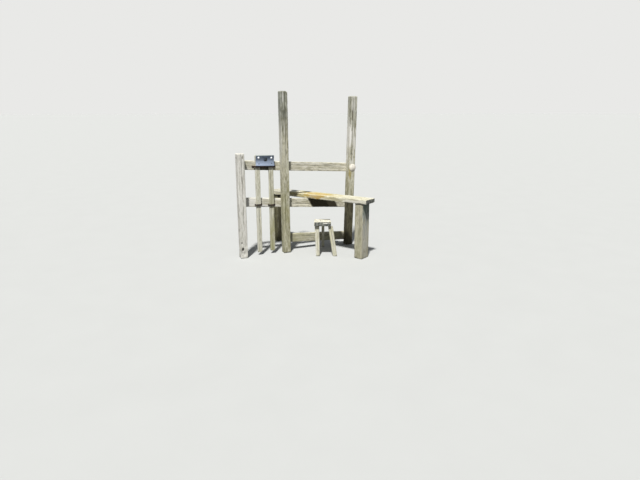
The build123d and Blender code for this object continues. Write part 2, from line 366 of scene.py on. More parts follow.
# Timbers: their frames, shapes and materials


# The looks of a timber that names no others: shares of growth and bleaching, the places
# along the grain or the heights where they begin and end, the height below which painted
# shade darkens it, and how worn its corners are
PLAIN = dict(
    silver=0.0, silver_reach=(-1.0, 3.0), lichen=0.0, lichen_reach=(-1.0, 3.0),
    algae=0.0, algae_top=1.1, grey=0.0, grey_from=1.2, damp_top=0.0,
    end_tone=1.0, wear=1.0, foot_wear=0.0,
)

# Flaws, in a timber's own frame: places along the grain and across a face, in metres
Crack = namedtuple("Crack", "face across start end width depth", defaults=(3 * MM, 6 * MM))
Knot = namedtuple("Knot", "face along across radius depth", defaults=(2 * MM,))
# The box of a broken place, the push of its faces and the axis along which the push grows
Break = namedtuple("Break", "low high push axis")
Patch = namedtuple("Patch", "face colour share along across half_length half_width")
# A darkening is a band of painted shade, such as a painted shadow, on the face that looks along +Z,
# and its ends slant across it
Darkening = namedtuple("Darkening", "start end slant share")

END_SHARE = 0.15  # of a timber's length, at each end, that gives its frame
JOIN = 1e-5  # closer points are one


class Timber:
    """One timber: its node, the way its grain runs, its wood, its seed, its flaws and looks.

    Its own frame has X along the grain from its first end, and Y to the named side. The seed
    moves the noise, so that no two timbers are alike.
    """

    def __init__(self, node, grain, side, wood, seed, *flaws, **looks):
        self.node = node
        self.grain = Vector(grain)
        self.side = Vector(side)
        self.wood = wood
        self.seed = seed
        self.cracks, self.knots, self.breaks, self.patches, self.darkenings = (
            [flaw for flaw in flaws if isinstance(flaw, kind)]
            for kind in (Crack, Knot, Break, Patch, Darkening)
        )
        for name, plain_value in PLAIN.items():
            setattr(self, name, looks.pop(name, plain_value))
        if looks:
            raise TypeError("no such looks: " + ", ".join(looks))

    def own_frame(self):
        points = node_points(self.node)
        reach = [point.dot(self.grain) for point in points]
        margin = END_SHARE * (max(reach) - min(reach))
        low = [point for point, r in zip(points, reach) if r < min(reach) + margin]
        high = [point for point, r in zip(points, reach) if r > max(reach) - margin]
        start = middle(low)
        along = (middle(high) - start).normalized()
        across = (self.side - along * self.side.dot(along)).normalized()
        turned = Matrix((along, across, along.cross(across))).transposed()
        return Matrix.Translation(start) @ turned.to_4x4()


def corners(points):
    """The lowest and highest corners of the box around some points."""
    low = Vector(min(point[i] for point in points) for i in range(3))
    high = Vector(max(point[i] for point in points) for i in range(3))
    return low, high


def middle(points):
    low, high = corners(points)
    return (low + high) / 2


def node_box(node):
    return tuple(Vector(corner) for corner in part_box(node))


def node_points(node):
    return [vertex.co for vertex in NODES[node].data.vertices]


def slice_mesh(bm, axis, places):
    """Cuts every face along planes square to an axis."""
    direction = Vector((0, 0, 0))
    direction[axis] = 1
    for place in places:
        geometry = bm.verts[:] + bm.edges[:] + bm.faces[:]
        bmesh.ops.bisect_plane(
            bm, geom=geometry, dist=1e-6, plane_co=direction * place, plane_no=direction
        )


def steps(low, high, step):
    """Evenly spaced places between two limits, about a step apart."""
    count = max(1, round((high - low) / step))
    return [low + (high - low) * i / count for i in range(1, count)]


# Faces of a timber: the axis that each looks along, and its sign
FACES = {"-x": (0, -1), "+y": (1, 1), "-y": (1, -1), "+z": (2, 1), "-z": (2, -1)}

# How fast the noise of each kind of wear changes, for each metre
FURROW_RATES = (5, 160)  # along the grain and across it
HOLLOW_RATES = (3.1, 14)
ARRIS_RATE = 38
CHIP_RATE = 15
CRACK_RATE = 40
BREAK_RATE = 60
ROT_RATE = 22

CRACK_TAPER = 0.05  # length over which a crack runs out
OPEN_END = 0.01  # a crack this near a timber's end runs out through it
# Painted shade: a knot hole this deep is painted fully black inside
KNOT_BLACK = 8 * MM  # a knot hole this deep is black inside
ROT_REACH = 0.25  # how high the rot of a foot climbs


def grain_place(spot, rates):
    """Where a spot lies in noise with one rate along the grain and one across it."""
    along, across = rates
    return Vector((spot.x * along, spot.y * across, spot.z * across))


def face_wear(spot, settings):
    """How far a face has worn back, in furrows of soft grain and in broad hollows."""
    furrow = 0.5 + 0.5 * noise.fractal(grain_place(spot, FURROW_RATES), 0.6, 2.0, 3)
    hollow = 0.4 + noise.noise(grain_place(spot, HOLLOW_RATES))
    return settings.furrow_depth * max(0.0, furrow) + settings.hollow_depth * max(0.0, hollow)


def arris_wear(point, spot, box, timber, settings):
    """How a corner has rounded and chipped, and how bare that leaves it."""
    low, high = box
    centre = (low + high) / 2
    gap = [high[i] - centre[i] - abs(point[i] - centre[i]) for i in range(3)]
    move = Vector((0, 0, 0))
    bare = 0.0
    for first, second in ((1, 2), (0, 1), (0, 2)):
        near = 1 - math.hypot(gap[first], gap[second]) / settings.arris_reach
        if near <= 0:
            continue
        rough = noise.fractal(spot * ARRIS_RATE, 0.7, 2.0, 3)
        chip = max(0.0, noise.noise(spot * CHIP_RATE + Vector((5, 0, 0))) - 0.22) * 5
        wear = settings.arris_wear * timber.wear * near**1.5 * (0.6 + 0.5 * rough + chip)
        for i in (first, second):
            move[i] -= math.copysign(max(0.0, wear), point[i] - centre[i])
        bare = max(bare, near * (0.6 + 0.4 * rough))
    return move, bare


def crack_depth(crack, point, normal, box, seed):
    """How deep a crack is at a point of the surface, as a share of its depth."""
    axis, sign = FACES[crack.face]
    off = abs(point[3 - axis] - crack.across)
    along = point.x
    if normal[axis] * sign < 0.6 or not crack.start <= along <= crack.end or off > crack.width * 0.6:
        return 0.0
    taper = min(CRACK_TAPER, (crack.end - crack.start) / 3)
    share = min(1.0, (along - crack.start) / taper, (crack.end - along) / taper)
    if not box[0].x + OPEN_END < along < box[1].x - OPEN_END:
        share = 1.0
    wobble = 0.6 + 0.4 * noise.noise(Vector((along * CRACK_RATE, crack.across * 100, seed)))
    return max(0.0, share) * wobble * max(0.0, 1 - off / (crack.width * 0.55))


def knot_depth(knot, point, normal):
    """How deep a knot hole is at a point of the surface, as a share of its depth."""
    axis, sign = FACES[knot.face]
    if normal[axis] * sign < 0.4:
        return 0.0
    off = math.hypot((point.x - knot.along) * 0.75, point[3 - axis] - knot.across) / knot.radius
    return max(0.0, 1 - off * off)


def break_push(broken, point, seed):
    """How far a broken place has gone at a point of the surface."""
    low, high, push, axis = broken
    if any(not low[i] - JOIN <= point[i] <= high[i] + JOIN for i in range(3)):
        return Vector((0, 0, 0))
    share = (point[axis] - low[axis]) / (high[axis] - low[axis])
    rough = 0.85 + 0.3 * noise.noise(point * BREAK_RATE + Vector((seed, 0, 0)))
    return Vector(push) * share * rough


def carve(bm, timber, settings):
    """Weathers a timber in its own frame, moving its surface inwards only."""
    box = corners([vertex.co for vertex in bm.verts])
    # The cut attribute marks cracks and knot holes, where the material paints shade; the worn
    # attribute marks bare arrises
    cut = bm.verts.layers.float.new("cut")
    worn = bm.verts.layers.float.new("worn")
    offset = Vector((timber.seed * 3.7, timber.seed, -timber.seed))
    bm.normal_update()
    for vertex in bm.verts:
        point = vertex.co.copy()
        normal = vertex.normal.copy()
        move, vertex[worn] = arris_wear(point, point + offset, box, timber, settings)
        move -= normal * face_wear(point + offset, settings)
        for crack in timber.cracks:
            share = crack_depth(crack, point, normal, box, timber.seed)
            axis, sign = FACES[crack.face]
            move[axis] -= sign * share * crack.depth
            vertex[cut] = max(vertex[cut], min(1.0, share * 2))
        for knot in timber.knots:
            share = knot_depth(knot, point, normal)
            axis, sign = FACES[knot.face]
            move[axis] -= sign * share * knot.depth
            vertex[cut] = max(vertex[cut], min(1.0, share * knot.depth / KNOT_BLACK))
        for broken in timber.breaks:
            move += break_push(broken, point, timber.seed)
        if timber.foot_wear:
            low_down = max(0.0, 1 - point.x / ROT_REACH)
            soft = max(0.0, noise.noise(point * ROT_RATE + offset) + 0.3)
            move -= normal * (timber.foot_wear * low_down * soft)
        vertex.co = point + move
        for i in range(3):
            vertex.co[i] = min(max(vertex.co[i], box[0][i]), box[1][i])


def cut_places(timber, axis, low, high, step):
    """Where a timber is cut across an axis: evenly, and at its cracks and broken places."""
    places = steps(low, high, step)
    for crack in timber.cracks:
        if axis and 3 - FACES[crack.face][0] == axis:
            half = crack.width / 2
            places += [crack.across - half, crack.across, crack.across + half]
    for broken in timber.breaks:
        first, last = broken.low[axis], broken.high[axis]
        places += [first - 1 * MM, first, last, last + 1 * MM]
    return sorted(place for place in places if low < place < high)


def make_timber(context, timber):
    """Puts the weathered mesh of one timber in place of its node."""
    if timber.node not in NODES:
        raise RuntimeError("no such timber: " + timber.node)
    settings = context.scene.stile_timber
    own = timber.own_frame()
    bm = merged_copy(timber.node)
    bmesh.ops.transform(bm, matrix=own.inverted(), verts=bm.verts)
    low, high = corners([vertex.co for vertex in bm.verts])
    for axis, step in enumerate((settings.ring_step, settings.side_step, settings.side_step)):
        slice_mesh(bm, axis, cut_places(timber, axis, low[axis], high[axis], step))
    carve(bm, timber, settings)
    bmesh.ops.triangulate(bm, faces=[face for face in bm.faces if len(face.verts) > 4])
    bmesh.ops.transform(bm, matrix=own, verts=bm.verts)
    bmesh.ops.recalc_face_normals(bm, faces=bm.faces)
    stand_in(context, bm, timber.node, wood_finish(context, timber, own))


def merged_copy(node):
    """A bmesh of a node's mesh, with its loose triangles joined."""
    bm = bmesh.new()
    bm.from_mesh(NODES[node].data)
    bmesh.ops.remove_doubles(bm, verts=bm.verts, dist=JOIN)
    bmesh.ops.dissolve_limit(bm, angle_limit=0.01, verts=bm.verts, edges=bm.edges)
    return bm


TIMBER_SMOOTH, STEEL_SMOOTH = 40, 35  # degrees up to which faces shade as one


def finished(context, bm, name, finish, smooth=TIMBER_SMOOTH):
    """A new object in the scene from a bmesh, which is freed."""
    mesh = bpy.data.meshes.new(name)
    bm.to_mesh(mesh)
    bm.free()
    mesh.materials.append(finish)
    mesh.shade_smooth()
    mesh.set_sharp_from_angle(angle=math.radians(smooth))
    piece = bpy.data.objects.new(name, mesh)
    context.scene.collection.objects.link(piece)
    return piece


def stand_in(context, bm, node, finish, smooth=TIMBER_SMOOTH):
    """Adds the piece that stands for a node, and rides on the node's body."""
    piece = finished(context, bm, "dressed_" + node, finish, smooth)
    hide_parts(node)
    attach(piece, BODY_OF[node])


def stretch(run, reach, fade):
    """1 within a reach along a timber, fading to 0 beyond its two ends."""
    begun, ended = (run.between(place - fade, place + fade) for place in reach)
    return begun * (1 - ended)


def patch_share(own, normal, turn, patch, rough):
    """1 in a patch on one face of a timber, and 0 outside it, with a rough edge."""
    axis, sign = FACES[patch.face]
    out = Vector((0, 0, 0))
    out[axis] = sign
    run, side = (2, 1) if axis == 0 else (0, 3 - axis)
    centre = Vector((0, 0, 0))
    scale = Vector((0, 0, 0))
    centre[run], centre[side] = patch.along, patch.across
    scale[run], scale[side] = 1 / patch.half_length, 1 / patch.half_width
    off = own.moved(-centre).stretched(scale).distance((0, 0, 0)) + (rough - 0.5) * 3
    facing = normal.along(turn @ out).between(0.5, 0.8)
    return (1 - off.between(0.5, 1.3)) * facing * patch.share


# Patterns of the wood: how fast each changes along the grain and the two ways across it, for
# each metre, and its detail and distortion
PATTERNS = {
    "fibre": ((14, 420, 420), 2, 0.0),
    "streak": ((2.6, 85, 85), 4, 0.4),
    "mottle": ((16, 48, 48), 3, 0.3),
    "blotch": ((4, 11, 11), 4, 0.0),
    "check": ((3, 150, 150), 2, 0.3),
    "bleach": ((3.5, 48, 48), 3, 0.0),
    "bloom": ((5, 16, 16), 4, 0.0),
    "rings": ((2, 60, 24), 3, 1.2),
}


def wood_finish(context, timber, timber_frame):
    """Weathered softwood with its grain along the timber."""
    finish = Finish("wood_" + timber.node, context.scene.stile_timber)
    own = finish.place(timber_frame.inverted())
    turn = timber_frame.to_3x3()
    spot = own.moved((timber.seed * 1.7, timber.seed * 0.9, timber.seed * 0.4))
    normal = finish.normal()
    run = own.along((1, 0, 0))
    height = finish.here().along(UP)

    def pattern(name):
        rates, detail, distortion = PATTERNS[name]
        return finish.noise(spot.stretched(rates), detail=detail, distortion=distortion)

    fibre, streak, mottle, blotch = map(pattern, ("fibre", "streak", "mottle", "blotch"))
    check = (1 - abs(pattern("check") - 0.5) * 9).clamped() ** 2.0 * streak.between(0.42, 0.6)
    tone = (streak * 0.4 + fibre * 0.15 + mottle * 0.5 + blotch * 0.15).between(0.5, 0.7)

    def grained(wood):
        """Soft and raised grain in the two colours of a wood."""
        return finish.mix(tone, wood + "_dark", wood + "_pale")

    finish.colour = grained(timber.wood)
    finish.lay(check * 0.6, "stain")
    finish.lay(mottle.between(0.56, 0.72) * 0.45, "stain")
    if timber.grey:
        greyed = height.between(timber.grey_from, timber.grey_from + 0.3)
        finish.lay(greyed * timber.grey, grained("grey"))
    if timber.silver:
        bleached = pattern("bleach").between(0.5, 0.62) * stretch(run, timber.silver_reach, 0.1)
        finish.lay(bleached * timber.silver, "silver")
    if timber.algae:
        low = 1 - height.between(timber.algae_top - 0.9, timber.algae_top)
        finish.lay(low * pattern("bloom").between(0.3, 0.62) * timber.algae, "algae")
    crust = 0.0
    if timber.lichen:
        spread = finish.noise(spot.stretched((0.8, 1, 1)), scale=12, detail=5, roughness=0.62)
        spread = spread.between(0.46 - 0.16 * timber.lichen, 0.6 - 0.05 * timber.lichen)
        dots = 1 - finish.cells(spot.stretched((1, 1.2, 1.2)), 55).between(0.1, 0.5)
        level = (0.35 + normal.along(UP) * 0.65).clamped()
        crust = spread * level * stretch(run, timber.lichen_reach, 0.12)
        finish.lay(crust * (0.55 + dots * 0.45) * timber.lichen, "lichen")
    ends = abs(normal.along(turn @ Vector((1, 0, 0)))).between(0.74, 0.92)
    rings = pattern("rings").between(0.4, 0.7)
    finish.lay(ends * timber.end_tone, finish.mix(rings, "end_dark", "end_pale"))
    finish.lay(finish.attribute("worn").between(0.25, 0.95) * 0.3 * (1 - ends), "silver")
    # Painted shade below a height, with a rough edge, in the painted shade colours
    if timber.damp_top:
        edge = timber.damp_top + (blotch - 0.5) * 0.25
        finish.lay((1 - (height - edge).between(-0.07, 0.02)) * 0.95, grained("damp"))
    # Painted shade and painted shadows: dark bands on the face that looks along +Z
    for stain in timber.darkenings:
        place = run + own.along((0, stain.slant, 0)) + (blotch - 0.5) * 0.04
        facing = normal.along(turn @ Vector((0, 0, 1))).between(0.3, 0.6)
        dark = stretch(place, (stain.start, stain.end), 0.012) * facing * stain.share
        finish.lay(dark, "damp_dark")
    for patch in timber.patches:
        finish.lay(patch_share(own, normal, turn, patch, mottle), patch.colour)
    # Painted shade inside cracks and knot holes, by the cut attribute
    finish.lay(finish.attribute("cut").between(0.05, 0.75), "crack")
    relief = fibre * 0.25 + streak * 0.45 - check * 0.6 + crust * 0.25
    return finish.surface(relief, 1.6 * MM, 0.7, roughness=0.78 + fibre * 0.14)


# The ways the treads run from their near ends, and the ways to their left
UPPER_RUN = (-0.443, 0.896, 0)
UPPER_LEFT = (-0.896, -0.443, 0)
LOWER_RUN = (0.434, 0.901, 0)
LOWER_LEFT = (-0.901, 0.434, 0)

POSTS = (
    Timber(
        "left_tall_post", UP, RIGHT, "post", 1.3,
        Crack("-z", 6 * MM, 0.9, 1.7, 4 * MM, 10 * MM),
        Crack("-z", -14 * MM, 0.25, 0.8),
        Crack("-z", -22 * MM, 1.25, 1.7, 3 * MM, 7 * MM),
        Crack("-y", 4 * MM, 0.55, 1.25),
        Crack("+z", -8 * MM, 1.1, 1.7, 4 * MM, 8 * MM),
        Crack("+y", 9 * MM, 0.4, 1.1),
        Knot("+z", 1.31, 14 * MM, 11 * MM, 2.5 * MM),
        Knot("-z", 0.62, -9 * MM, 9 * MM),
        Break((1.672, 16 * MM, -0.05), (1.7, 0.05, 0.05), (-16 * MM, 0, 0), 1),
        Patch("-z", "stain", 0.5, 1.4, 32 * MM, 0.3, 8 * MM),
        Patch("-y", "silver", 0.35, 1.15, 0, 0.3, 30 * MM),
        Patch("-z", "silver", 0.6, 1.63, -14 * MM, 0.05, 8 * MM),
        algae=0.5, algae_top=1.3, lichen=0.3, silver=0.45, silver_reach=(0.9, 1.4), grey=0.85,
    ),
    Timber(
        "right_tall_post", UP, RIGHT, "post", 4.1,
        Crack("-z", -7 * MM, 0.95, 1.66, 4 * MM, 10 * MM),
        Crack("-z", 17 * MM, 1.2, 1.66, 3 * MM, 7 * MM),
        Crack("-y", 3 * MM, 0.3, 1.0, 3 * MM, 7 * MM),
        Crack("+z", 10 * MM, 0.7, 1.5, 4 * MM, 8 * MM),
        Crack("+y", -6 * MM, 0.9, 1.66),
        Knot("-z", 1.043, -17 * MM, 10 * MM, 5 * MM),
        Knot("-y", 1.2, 8 * MM, 9 * MM),
        Patch("-z", "silver", 1.0, 1.24, -32 * MM, 0.13, 14 * MM),
        Patch("-y", "silver", 1.0, 1.22, -30 * MM, 0.13, 16 * MM),
        Patch("-z", "silver", 0.5, 1.58, -10 * MM, 0.1, 25 * MM),
        Patch("-z", "stain", 0.9, 1.46, -16 * MM, 0.06, 8 * MM),
        Patch("-z", "lichen", 0.5, 0.84, -24 * MM, 0.07, 16 * MM),
        algae=0.35, lichen=0.3, silver=0.95, silver_reach=(0.9, 1.5), grey=0.4, grey_from=1.1,
        # painted shade over the post's foot, up to about this height
        damp_top=0.56,
    ),
    Timber(
        "left_short_post", UP, RIGHT, "bleached", 7.9,
        Crack("-z", 5 * MM, 0.35, 1.1, 3.5 * MM, 8 * MM),
        Crack("-y", -5 * MM, 0.1, 0.7),
        Crack("+z", 3 * MM, 0.4, 1.1, 4 * MM, 8 * MM),
        Knot("-z", 0.1, -14 * MM, 13 * MM, 14 * MM),
        Knot("-z", 0.17, -24 * MM, 8 * MM, 8 * MM),
        Knot("-y", 0.3, -16 * MM, 15 * MM, 9 * MM),
        Knot("-z", 1.03, -12 * MM, 9 * MM, 2.5 * MM),
        Patch("-y", "stain", 0.8, 1.05, -4 * MM, 14 * MM, 10 * MM),
        Patch("-z", "stain", 0.6, 1.055, 16 * MM, 16 * MM, 7 * MM),
        Patch("-z", "stain", 0.6, 0.82, 4 * MM, 40 * MM, 6 * MM),
        Patch("-y", "stain", 0.6, 0.6, -8 * MM, 40 * MM, 6 * MM),
        silver=0.5, lichen=0.12, end_tone=0.2, foot_wear=9 * MM,
    ),
)

RAILS = (
    Timber(
        "top_rail", RIGHT, UP, "rail", 2.2,
        Crack("+z", 12 * MM, 0.55, 1.1),
        Crack("+z", -20 * MM, 0.05, 0.4),
        Crack("-z", 5 * MM, 0.7, 1.3),
        Knot("+z", 0.93, -16 * MM, 11 * MM),
        Knot("-z", 0.3, 10 * MM, 12 * MM),
        # Painted shade on the rail's near face, behind the gate's plate
        Darkening(0.19, 0.385, 0, 0.75),
        lichen=0.25, silver=0.4,
    ),
    Timber(
        "middle_rail", RIGHT, UP, "rail", 5.6,
        Crack("+z", -10 * MM, 0.5, 0.95),
        Crack("-z", 8 * MM, 0.1, 0.6),
        Knot("+z", 0.62, 20 * MM, 12 * MM),
        Knot("-z", 1.0, -12 * MM, 11 * MM),
        # Bleached grain at the rail's left end, laid on as painted light over the short post's shadow
        Patch("+z", "silver", 0.8, 0.08, 0, 0.16, 0.08),
        # Painted shadow of the upper tread on the rail's near face, its left end slanting as the
        # shadow's edge does
        Darkening(0.816, 1.135, 0.72, 1.0),
        lichen=0.25, silver=0.9, silver_reach=(-1.0, 0.5),
    ),
    Timber(
        "bottom_rail", RIGHT, UP, "rail", 8.4,
        Crack("+z", 15 * MM, 0.2, 0.6),
        Crack("-z", -15 * MM, 0.3, 0.82),
        algae=0.45, lichen=0.2,
    ),
)

UPPER_TREAD = (
    Timber(
        "upper_tread", UPPER_RUN, UPPER_LEFT, "tread", 3.3,
        Crack("+z", -30 * MM, 0.72, 1.34, 7 * MM, 16 * MM),
        Crack("+z", 38 * MM, 0.0, 0.42, 4 * MM, 8 * MM),
        Crack("+y", 3 * MM, 0.85, 1.34),
        Crack("-z", 20 * MM, 0.2, 0.9, 4 * MM, 8 * MM),
        Knot("+z", 0.47, -35 * MM, 15 * MM, 2.5 * MM),
        Knot("+z", 0.98, 40 * MM, 12 * MM),
        Patch("+z", "orange", 0.6, 0.66, 20 * MM, 0.18, 50 * MM),
        Patch("+y", "orange", 0.75, 0.66, 5 * MM, 0.14, 26 * MM),
        Patch("+z", "stain", 0.4, 1.26, 0, 0.16, 0.1),
        Patch("+y", "lichen", 0.4, 0.9, 0, 0.16, 24 * MM),
        Patch("+z", "silver", 0.7, 1.1, -10 * MM, 0.15, 40 * MM),
        lichen=1.0, lichen_reach=(0.4, 1.0), silver=0.5, wear=1.3,
    ),
    Timber(
        "upper_tread_near_leg", UP, UPPER_LEFT, "leg", 6.7,
        Crack("+y", 8 * MM, 0.1, 0.59, 3 * MM, 8 * MM),
        Crack("+z", -15 * MM, 0.15, 0.5, 3.5 * MM, 8 * MM),
        Knot("+y", 0.38, -14 * MM, 11 * MM),
        # Painted shade in blue grey on the upper end face, under the tread's overhang
        Patch("+z", "painted_shade_blue", 0.85, 0.54, 0, 0.2, 0.08),
        Patch("+z", "silver", 0.4, 0.25, 10 * MM, 0.25, 0.06),
        algae=0.2,
    ),
    # The far leg is coloured with the painted shade colours, as the shade it stands in
    Timber(
        "upper_tread_far_leg", UP, UPPER_LEFT, "damp", 9.1,
        Crack("+y", -6 * MM, 0.1, 0.5, 3 * MM, 8 * MM),
        Crack("-z", 12 * MM, 0.0, 0.4, 3.5 * MM, 8 * MM),
        algae=0.15,
    ),
)

LOWER_TREAD = (
    Timber(
        "lower_tread", LOWER_RUN, LOWER_LEFT, "tread", 10.3,
        Crack("+z", 22 * MM, 0.0, 0.3, 4 * MM, 9 * MM),
        Crack("-z", -10 * MM, 0.1, 0.43, 4 * MM, 8 * MM),
        Break((-0.01, -0.086, 4 * MM), (0.02, -8 * MM, 15 * MM), (10 * MM, 0, 0), 2),
        Patch("+z", "silver", 0.3, 0.15, 0, 0.25, 0.1),
        Patch("-x", "silver", 0.65, 9 * MM, -34 * MM, 6 * MM, 34 * MM),
        lichen=0.08, silver=0.6, wear=1.3,
    ),
    Timber(
        "lower_tread_left_stake", UP, LOWER_LEFT, "stake", 11.9,
        Crack("+z", 2 * MM, 0.05, 0.3),
        algae=0.3, algae_top=0.9, silver=0.6,
    ),
    Timber(
        "lower_tread_right_stake", UP, LOWER_LEFT, "stake", 12.4,
        Crack("+z", -4 * MM, 0.05, 0.3),
        algae=0.3, algae_top=0.9, silver=0.6,
    ),
    Timber("lower_tread_rear_stake", UP, RIGHT, "stake", 13.6, algae=0.3, algae_top=0.9),
)

GATE_TIMBERS = (
    Timber(
        "gate_left_slat", UP, RIGHT, "slat", 14.8,
        Crack("-z", 4 * MM, 0.1, 0.6, 2 * MM, 4 * MM),
        algae=0.15, silver=0.35, wear=0.5,
    ),
    Timber(
        "gate_right_slat", UP, RIGHT, "slat", 15.2,
        Crack("-z", -6 * MM, 0.3, 0.9, 2 * MM, 4 * MM),
        algae=0.8, silver=0.15, wear=0.5,
    ),
    # The cross bar is coloured with the painted shade colours, with more painted shade on its near
    # face, which shows through the plate's slot
    Timber("gate_cross_bar", RIGHT, UP, "damp", 16.4, Darkening(-1.0, 2.0, 0, 0.9), wear=0.5),
)


# Steel and the disc

# Heads sit where a line from in front of the fence, or from behind it, meets a dressed node
IN_FRONT, BEHIND = -0.3, 0.5
SHARP = math.radians(50)  # a fold sharper than this is an edge
SINK = 1 * MM  # how far a bolt head starts inside its node's back
SCREW_HEIGHT = 27 * MM  # of the plate's small screws, over its foot
NAIL_INSET = 25 * MM  # of a rail's nails from its ends, at least
POST_NAIL = (0.6, 0.008, 0.842)  # where the line to the nail in the right tall post begins


def sheet_finish(steel):
    """Galvanised sheet: cloudy zinc with a painted reflection that darkens it towards its top, a
    painted highlight along its top fold, and pale run marks.
    """
    low, high = node_box("gate_handle_plate")
    finish = Finish("galvanised_sheet", steel)
    spot = finish.here()
    height = spot.along(UP)
    cloud = finish.noise(spot, scale=38, detail=5)
    spangle = finish.cells(spot, 150)
    runs = finish.noise(spot.stretched((160, 30, 8)), detail=3).between(0.45, 0.75)
    # Painted reflection: dark towards the top, pale and bluish low down, mottled by the cloud
    dark_reflection = height.between(low.z + 35 * MM, high.z - 25 * MM) * 0.95 + cloud * 0.3 - 0.15
    finish.colour = finish.mix(dark_reflection.clamped(), "sheet", "sheet_dark_reflection")
    finish.lay(runs * 0.15, "sheet_run")
    finish.lay(spangle.between(0.2, 0.9) * 0.12, "spangle")
    slot = Vector(((low.x + high.x) / 2 + 6 * MM, 0, high.z - 50 * MM))
    grime = 1 - spot.stretched((1, 0, 1)).distance(slot).between(8 * MM, 30 * MM)
    finish.lay(grime * 0.75, "grime")
    # Painted highlight along the top fold
    finish.lay(height.between(high.z - 12 * MM, high.z - 6 * MM) * 0.8, "sheet_top_highlight")
    relief = cloud * 0.7 + spangle * 0.3
    return finish.surface(relief, 0.4 * MM, 0.5, metallic=0.2, roughness=0.42 + cloud * 0.2)


def bar_finish(steel, name, base, rusted):
    """Bar or fastener steel of a base colour, with rust in patches."""
    finish = Finish(name, steel)
    patch = finish.noise(finish.here(), scale=70, detail=5, roughness=0.65)
    rusty = patch.between(0.45, 0.62) * rusted
    finish.colour = finish.mix(rusty, base, "rust")
    metallic = 0.5 - rusty * 0.5
    return finish.surface(patch, 0.5 * MM, 0.5, metallic=metallic, roughness=0.45 + patch * 0.3)


def disc_finish(steel):
    """Faded plastic with a faint ring, darker towards its rim."""
    low, high = node_box("waymark_disc")
    finish = Finish("disc_plastic", steel)
    spot = finish.here()
    off = spot.distance((low + high) / 2) / ((high.z - low.z) / 2)
    grime = finish.noise(spot, scale=60, detail=4)
    ring = 1 - (abs(off - 0.8) * 18).clamped()
    finish.colour = finish.mix(ring * 0.5, "disc", "disc_ring")
    # Darker towards the rim, in patches
    finish.lay(off.between(0.86, 1.0) * grime * 0.6, "disc_rim")
    finish.lay(grime.between(0.55, 0.75) * 0.25, "disc_cloud")
    return finish.surface(grime, 0.2 * MM, 0.4, roughness=0.42 + grime * 0.15)


def eased_node(context, node, width, finish):
    """Puts a node's own shape in its place, with its sharp edges eased."""
    bm = merged_copy(node)
    sharp = [edge for edge in bm.edges if edge.is_manifold and edge.calc_face_angle() > SHARP]
    bmesh.ops.bevel(
        bm, geom=sharp, offset=width, segments=2, profile=0.5, affect="EDGES", material=-1,
        clamp_overlap=True,
    )
    bmesh.ops.triangulate(bm, faces=[face for face in bm.faces if len(face.verts) > 4])
    stand_in(context, bm, node, finish, STEEL_SMOOTH)


def add_head(bm, place, facing, radius, rise):
    """Adds a low domed head on a short shank, which goes into what carries it."""
    ball = bmesh.ops.create_uvsphere(bm, u_segments=20, v_segments=10, radius=radius)["verts"]
    bmesh.ops.transform(bm, matrix=Matrix.Diagonal((1, 1, rise / radius, 1)), verts=ball)
    bmesh.ops.delete(bm, geom=[vertex for vertex in ball if vertex.co.z < -1e-6], context="VERTS")
    dome = [vertex for vertex in ball if vertex.is_valid]
    rim = [edge for edge in bm.edges if edge.is_boundary]
    shank = bmesh.ops.extrude_edge_only(bm, edges=rim)["geom"]
    sunk = [item for item in shank if isinstance(item, bmesh.types.BMVert)]
    bmesh.ops.translate(bm, vec=(0, 0, -2 * rise), verts=sunk)
    rim = [item for item in shank if isinstance(item, bmesh.types.BMEdge) and item.is_boundary]
    bmesh.ops.contextual_create(bm, geom=rim)
    turn = UP.rotation_difference(Vector(facing)).to_matrix().to_4x4()
    bmesh.ops.transform(bm, matrix=Matrix.Translation(Vector(place)) @ turn, verts=dome + sunk)


def head_mesh(heads):
    """One mesh of several heads: each a place, the way it faces, a radius and a rise."""
    bm = bmesh.new()
    for head in heads:
        add_head(bm, *head)
    bmesh.ops.recalc_face_normals(bm, faces=bm.faces)
    return bm


def fasteners(context, name, heads, finish, node):
    """Adds several heads as one piece, which rides with the node that they hold."""
    piece = finished(context, head_mesh(heads), name, finish)
    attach(piece, BODY_OF[node])


def seat(context, node, start, way, radius):
    """A head where a line from a point first meets a dressed node, facing as its surface does."""
    piece = context.scene.objects.get("dressed_" + node)
    if piece is None:
        raise RuntimeError("nothing dresses " + node + " yet")
    points = [vertex.co for vertex in piece.data.vertices]
    surface = BVHTree.FromPolygons(points, [face.vertices for face in piece.data.polygons])
    place, facing, _index, _distance = surface.ray_cast(Vector(start), Vector(way))
    if place is None:
        raise RuntimeError("the line misses " + node)
    return place, facing, radius, context.scene.stile_steel.head_rise


# Operators, one for each piece or group of like pieces


class TimberOperator:
    """What the operators of timber share."""

    timbers = ()

    def execute(self, context):
        for timber in self.timbers:
            make_timber(context, timber)
        return {"FINISHED"}


class STILE_OT_posts(TimberOperator, bpy.types.Operator):
    """Weathers the three posts"""

    bl_idname = "stile.posts"
    bl_label = "Posts"
    timbers = POSTS


class STILE_OT_rails(TimberOperator, bpy.types.Operator):
    """Weathers the three rails"""

    bl_idname = "stile.rails"
    bl_label = "Rails"
    timbers = RAILS


class STILE_OT_upper_tread(TimberOperator, bpy.types.Operator):
    """Weathers the upper tread and its legs"""

    bl_idname = "stile.upper_tread"
    bl_label = "Upper tread"
    timbers = UPPER_TREAD


class STILE_OT_lower_tread(TimberOperator, bpy.types.Operator):
    """Weathers the lower tread and its stakes"""

    bl_idname = "stile.lower_tread"
    bl_label = "Lower tread"
    timbers = LOWER_TREAD


class STILE_OT_gate_timbers(TimberOperator, bpy.types.Operator):
    """Weathers the dog gate's slats and cross bar"""

    bl_idname = "stile.gate_timbers"
    bl_label = "Gate timbers"
    timbers = GATE_TIMBERS


